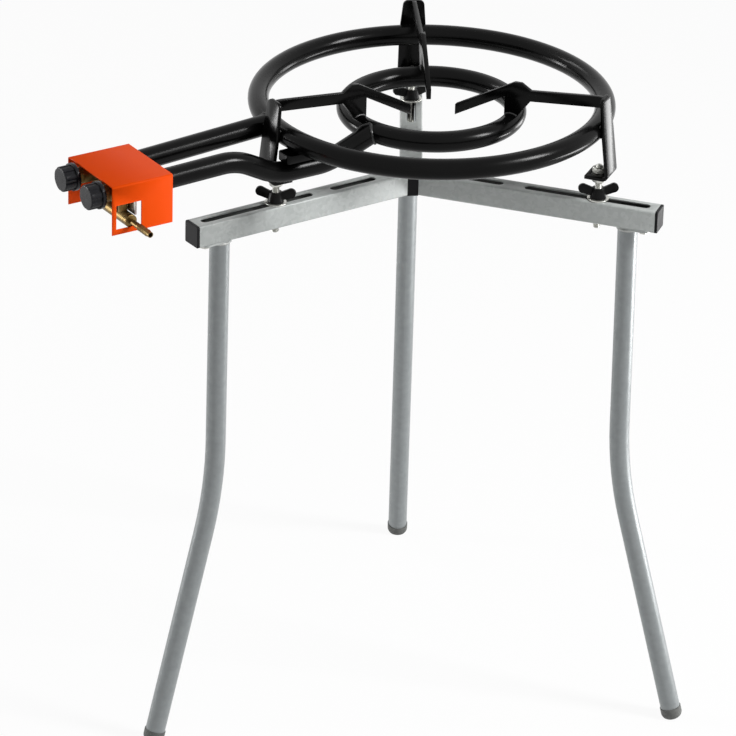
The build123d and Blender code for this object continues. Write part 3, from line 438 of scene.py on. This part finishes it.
def turned(points, degrees):
    """Points turned about the rings' axis."""
    a = math.radians(degrees)
    spin = np.array([[math.cos(a), -math.sin(a), 0.0], [math.sin(a), math.cos(a), 0.0], [0.0, 0.0, 1.0]])
    return points @ spin.T


def grid_faces(rows, columns, joined):
    """Quads of a grid whose columns close on themselves; its rows close too, or end in two flat caps."""
    row = np.arange(rows if joined else rows - 1)[:, None]
    column = np.arange(columns)[None, :]
    here, below = row * columns, (row + 1) % rows * columns
    beside = (column + 1) % columns
    quads = np.stack([here + column, here + beside, below + beside, below + column], axis=-1).reshape(-1, 4)
    faces = quads.tolist()
    if not joined:
        faces.append(list(range(columns))[::-1])
        faces.append(list(range((rows - 1) * columns, rows * columns)))
    return faces


def add_piece(name, grids, body, material, stands_for=None, crease=40.0):
    """One mesh of several closed grids, each (points of rows x columns x 3, joined), riding on a body."""
    vertices, faces = [], []
    for points, joined in grids:
        rows, columns = points.shape[:2]
        first = len(vertices)
        faces += [[first + index for index in face] for face in grid_faces(rows, columns, joined)]
        vertices += points.reshape(-1, 3).tolist()
    mesh = bpy.data.meshes.new(name)
    mesh.from_pydata(vertices, [], faces)
    mesh.polygons.foreach_set("use_smooth", np.ones(len(faces), dtype=bool))
    mesh.set_sharp_from_angle(angle=math.radians(crease))
    mesh.materials.append(material)
    piece = bpy.data.objects.new(name, mesh)
    bpy.context.scene.collection.objects.link(piece)
    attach(piece, body)
    if stands_for:
        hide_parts(stands_for)


def screw(x, bottom, top, radius, pitch):
    """A threaded rod with coned ends: r(z, a) = radius - depth * |2 frac(z / pitch - a / 2 pi) - 1|."""
    depth, cone_depth, columns = 0.61 * pitch, 1.6, 24
    z = np.arange(bottom, top + pitch / 16, pitch / 8)[:, None]
    a = np.linspace(0.0, 2 * np.pi, columns, endpoint=False)[None, :]
    wave = np.abs(2 * ((z / pitch - a / (2 * np.pi)) % 1.0) - 1.0)
    end_cone = np.minimum(z - z.min(), z.max() - z) + radius - cone_depth * depth
    r = np.minimum(radius - depth * wave, end_cone)
    return np.stack([x + r * np.cos(a), r * np.sin(a), z + 0 * a], axis=-1)


def hex_nut(x, bottom, flats, height, bore):
    """A hexagon nut: r(z, a) = the lesser of the hexagon's radius at a and a 30 degree cone at each end."""
    a = np.linspace(0.0, 2 * np.pi, 60, endpoint=False)[None, :]
    face_radius, corner = 0.475 * flats, flats / math.sqrt(3)
    slope = math.tan(math.radians(30))
    chamfer = (corner - face_radius) * slope
    rise = np.concatenate([np.linspace(0, chamfer, 4), height - np.linspace(chamfer, 0, 4)])[:, None]
    hexagon = flats / 2 / np.cos((a + np.pi / 6) % (np.pi / 3) - np.pi / 6)
    cone = face_radius + np.minimum(rise, height - rise) / slope
    outer = np.minimum(hexagon, cone)
    r = np.concatenate([outer, np.full((2, a.size), bore)])
    z = bottom + np.concatenate([rise, [[height], [0.0]]]) + 0 * a
    return np.stack([x + r * np.cos(a), r * np.sin(a), z], axis=-1)


def lathe(profile, place, axis, columns=32):
    """A turned form: the profile's (distance along the axis, radius) carried round the axis."""
    axis = unit(np.array(axis, float))
    side = unit(np.cross(axis, [0.3, 0.2, 1.0]))
    other = np.cross(axis, side)
    a = np.linspace(0.0, 2 * np.pi, columns, endpoint=False)
    spokes = np.cos(a)[:, None] * side + np.sin(a)[:, None] * other
    along, radius = np.array(profile, float).T
    return np.array(place, float) + along[:, None, None] * axis + radius[:, None, None] * spokes[None]


def bead(path, radius, closed=False):
    """A weld: circles along a path, tapered at open ends.

    At the length s their radius is radius * (0.84 + 0.16 |sin(pi s / ripple)|).
    """
    ahead = np.roll(path, -1, axis=0) - np.roll(path, 1, axis=0)
    if not closed:
        ahead[0], ahead[-1] = path[1] - path[0], path[-1] - path[-2]
    ahead = unit(ahead)
    side = unit(np.cross(ahead, [0.31, 0.17, 0.93]))
    other = np.cross(ahead, side)
    length = np.concatenate([[0.0], np.cumsum(np.linalg.norm(np.diff(path, axis=0), axis=1))])
    r = radius * (0.84 + 0.16 * np.abs(np.sin(np.pi * length / BEAD_RIPPLE)))
    if not closed:
        from_end = np.minimum(length, length[-1] - length) / radius
        r = r * np.sqrt(np.clip(from_end + 0.05, 0.05, 1.0))
    a = np.linspace(0.0, 2 * np.pi, 8, endpoint=False)
    ring = np.cos(a)[None, :, None] * side[:, None] + np.sin(a)[None, :, None] * other[:, None]
    return path[:, None] + r[:, None, None] * ring, closed


def tube_meets_ring(origin, direction, ring_radius, ring_height, count=96):
    """Where the wall of a feed tube first meets a ring, found by halving on each line of the wall."""
    just_inside, halvings = 0.995, 24
    direction = unit(np.array(direction, float))
    side = unit(np.cross(direction, [0.0, 0.0, 1.0]))
    other = np.cross(direction, side)
    a = np.linspace(0.0, 2 * np.pi, count, endpoint=False)[:, None]
    spokes = np.cos(a) * side + np.sin(a) * other
    wall = np.array(origin, float) + TUBE_RADIUS * just_inside * spokes
    near, far = np.zeros(count), np.full(count, WELD_SEARCH)
    for _ in range(halvings):
        middle = (near + far) / 2
        point = wall + middle[:, None] * direction
        outward = np.hypot(point[:, 0], point[:, 1]) - ring_radius
        inside = np.hypot(outward, point[:, 2] - ring_height) < TUBE_RADIUS
        near, far = np.where(inside, near, middle), np.where(inside, middle, far)
    return wall + near[:, None] * direction


def ring_line(ring_radius, ring_height, tilt, half_width, count=40):
    """Points on a ring's tube at `tilt` degrees round it, from -half_width to half_width across +X."""
    t = math.radians(tilt)
    reach = ring_radius + TUBE_RADIUS * math.cos(t)
    y = np.linspace(-half_width, half_width, count)
    z = np.full(count, ring_height + TUBE_RADIUS * math.sin(t))
    return np.stack([np.sqrt(reach ** 2 - y ** 2), y, z], axis=-1)


def ring_arc(ring_radius, ring_height, y, from_tilt, to_tilt, count=30):
    """Points over the top of a ring's tube, in the plane at `y`."""
    t = np.radians(np.linspace(from_tilt, to_tilt, count))
    x = ring_radius + TUBE_RADIUS * np.cos(t)
    z = ring_height + TUBE_RADIUS * np.sin(t)
    return np.stack([x, np.full(count, y), z], axis=-1)


# Copies of flat pieces with their edges eased
def ease_edges(name, width):
    """A merged copy of a CAD piece whose sharp edges get a small rounding, in the place of that piece."""
    merge_gap, flat_angle, sharp_angle = 1e-6, 0.4, 35.0
    mesh = nodes[name].data.copy()
    work = bmesh.new()
    work.from_mesh(mesh)
    bmesh.ops.remove_doubles(work, verts=work.verts, dist=merge_gap)
    bmesh.ops.dissolve_limit(work, angle_limit=math.radians(flat_angle), verts=work.verts, edges=work.edges)
    for face in work.faces:
        face.smooth = True
    work.to_mesh(mesh)
    work.free()
    mesh.name = name + "_eased"
    piece = bpy.data.objects.new(name + "_eased", mesh)
    bpy.context.scene.collection.objects.link(piece)
    rounding = piece.modifiers.new("rounding", "BEVEL")
    rounding.width = width
    rounding.segments = 2
    rounding.limit_method = "ANGLE"
    rounding.angle_limit = math.radians(sharp_angle)
    rounding.harden_normals = True
    rounding.use_clamp_overlap = True
    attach(piece, body_of[name])
    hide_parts(name)
    mesh.materials.clear()
    mesh.materials.append(FINISHES[slot_of[name]])
    return mesh


def paint_bore_shade(mesh):
    """Paints shade on the walls inside a square tube of the stand: a much darker, rougher zinc than its
    outside.
    """
    points = np.array([v.co[:] for v in mesh.vertices])
    height = (points[:, 2].min() + points[:, 2].max()) / 2
    flat = points[:, :2] - points[:, :2].mean(axis=0)
    along = np.linalg.svd(flat, full_matrices=False)[2][0]
    across = np.array([-along[1], along[0]])
    sideways = points[:, :2] @ across
    line = (sideways.min() + sideways.max()) / 2
    # The inner walls get the painted shade
    mesh.materials.append(FINISHES["painted_bore_shade"])
    for face in mesh.polygons:
        from_side = abs(np.array(face.center[:2]) @ across - line)
        if from_side < ARM_BORE_HALF and abs(face.center[2] - height) < ARM_BORE_HALF:
            face.material_index = 1


def add_finishes():
    """The finish of each piece's slot, or the enamel with gas ports, on every piece of the part."""
    for name, node in nodes.items():
        for place in node.material_slots:
            place.material = PORTED.get(name, FINISHES[slot_of[name]])


def add_eased_pieces():
    """Strips, bars, plates, sheet metal and mouldings, by how round their edges are."""
    widths = {"control_cover": 0.00035, "tap_bracket": 0.0004, "feed_saddle": 0.0008,
              "stud_washers": 0.0003, "outer_knob": 0.0005, "inner_knob": 0.0005}
    arm_widths = {"_pan_support": 0.0006, "_pan_bar": 0.0006, "_leg_plate": 0.0005,
                  "_wing_nut": 0.0007, "_arm": 0.0003}
    for arm in ARMS:
        widths.update({arm + ending: width for ending, width in arm_widths.items()})
    for name, width in widths.items():
        mesh = ease_edges(name, width)
        if name.endswith("_arm"):
            paint_bore_shade(mesh)


def add_stud_threads():
    """The three levelling studs with their threads, and the six chamfered nuts on them."""
    nuts = []
    for arm, angle in ARMS.items():
        low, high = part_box(arm + "_stud")
        rod = turned(screw(STUD_CIRCLE, low[2], high[2], STUD_RADIUS, STUD_PITCH), angle)
        add_piece(arm + "_stud_thread", [(rod, False)], "burner", FINISHES["zinc"],
                  arm + "_stud", crease=80.0)
        for bottom in (TAB_BOTTOM - STUD_NUT_HEIGHT, TAB_BOTTOM + TAB_THICKNESS):
            nut = hex_nut(STUD_CIRCLE, bottom, STUD_NUT_FLATS, STUD_NUT_HEIGHT, STUD_RADIUS)
            nuts.append((turned(nut, angle), True))
    add_piece("stud_nuts_chamfered", nuts, "burner", FINISHES["zinc"], "stud_nuts", crease=25.0)


def feed_weld(tube, start_x, start_z, ring_radius, ring_height):
    """The bead where a feed tube's last straight run, from `start_x` and `start_z`, enters a ring."""
    y = (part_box(tube)[0][1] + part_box(tube)[1][1]) / 2
    end = np.array([-math.sqrt(ring_radius ** 2 - y ** 2), y, ring_height])
    run = unit(end - np.array([start_x, y, start_z]))
    return bead(tube_meets_ring(end - WELD_SEARCH * run, run, ring_radius, ring_height), FEED_BEAD, True)


def add_burner_welds():
    """The beads that join the feed tubes, supports and bars to the rings."""
    outer_ring = (OUTER_RING_RADIUS, RING_HEIGHT)
    inner_ring = (INNER_RING_RADIUS, INNER_RING_HEIGHT)
    tap_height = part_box("outer_knob")[0][2] + KNOB_RADIUS
    beads = [
        feed_weld("outer_feed_tube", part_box("outer_feed_tube")[0][0], tap_height, *outer_ring),
        feed_weld("inner_feed_tube", -FEED_DIP_REACH, RING_HEIGHT - FEED_DIP_DROP, *inner_ring),
    ]
    half_length = SUPPORT_HALF_WIDTH - BEAD_END_MARGIN
    for angle in ARMS.values():
        paths = [ring_line(*outer_ring, tilt, half_length) for tilt in (-22.0, 36.0)]
        paths += [ring_arc(*inner_ring, side * PAN_BAR_HALF, 52.0, 128.0) for side in (-1, 1)]
        beads += [bead(turned(path, angle), SUPPORT_BEAD) for path in paths]
    add_piece("burner_welds", beads, "burner", BEAD_PAINT)


def add_leg_welds():
    """The bead round each leg's top, under its plate."""
    top_slice, below_plate = 0.0005, 0.0004
    a = np.linspace(0.0, 2 * np.pi, 72, endpoint=False)
    for arm in ARMS:
        leg_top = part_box(arm + "_leg")[1][2]
        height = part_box(arm + "_leg_plate")[0][2] - below_plate
        points = np.array([v.co[:] for v in nodes[arm + "_leg"].data.vertices])
        top = points[points[:, 2] > leg_top - top_slice]
        centre = (top.min(axis=0) + top.max(axis=0)) / 2
        x = centre[0] + LEG_RADIUS * np.cos(a)
        y = centre[1] + LEG_RADIUS * np.sin(a)
        path = np.stack([x, y, np.full(a.size, height)], axis=-1)
        add_piece(arm + "_leg_weld", [bead(path, LEG_BEAD, True)], "stand", BEAD_ZINC)


def add_hose_spout():
    """The gas inlet turned from brass: a collar, a neck and four ribs that hold the hose."""
    low, high = (np.array(corner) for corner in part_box("hose_tail"))
    x, z = (low[0] + high[0]) / 2, (low[2] + high[2]) / 2
    length = high[1] - low[1]
    collar_radius, collar, chamfer = 0.007, 0.006, 0.0006
    rib_radius, root, bore = 0.004, 0.0032, 0.0025
    ribs, rib, rib_end, rib_lip = 4, 0.005, 0.002, 0.0004
    profile = [(0.0, bore), (0.0, collar_radius - chamfer), (chamfer, collar_radius)]
    profile += [(collar - chamfer, collar_radius), (collar, collar_radius - chamfer), (collar, root)]
    for index in range(ribs):
        start = length - rib_end - (ribs - index) * rib
        profile += [(start, root), (start + rib_lip, rib_radius), (start + rib - rib_lip, root)]
    profile += [(length, root), (length, bore)]
    spout = lathe(profile, (x, high[1], z), (0, -1, 0))
    add_piece("hose_spout", [(spout, True)], "burner", FINISHES["brass"], "hose_tail", crease=30.0)


add_finishes()
add_eased_pieces()
add_stud_threads()
add_burner_welds()
add_leg_welds()
add_hose_spout()

bpy.context.scene.view_settings.view_transform = "Standard"
add_camera()
add_world(0.18)
add_floor(0.93)
add_lamp("key", (1.9, -2.35, 2.85), (0, 0, 0.5), (0.8, 1.2), 140.0)
add_lamp("rim", (-0.9, 2.8, 2.7), (0, 0, 0.6), (1.6, 0.3), 14.0)
add_lamp("right", (1.69, 0.13, 0.12), (0.1, -0.16, 0.68), (0.6, 0.5), 7.0)
add_lamp("low_left", (-2.0, 1.9, 0.5), (0.05, 0, 0.25), (0.4, 0.8), 32.0)
add_lamp("low_right", (1.08, -0.58, 0.1), (0.05, -0.18, 0.7), (0.6, 0.15), 6.0)
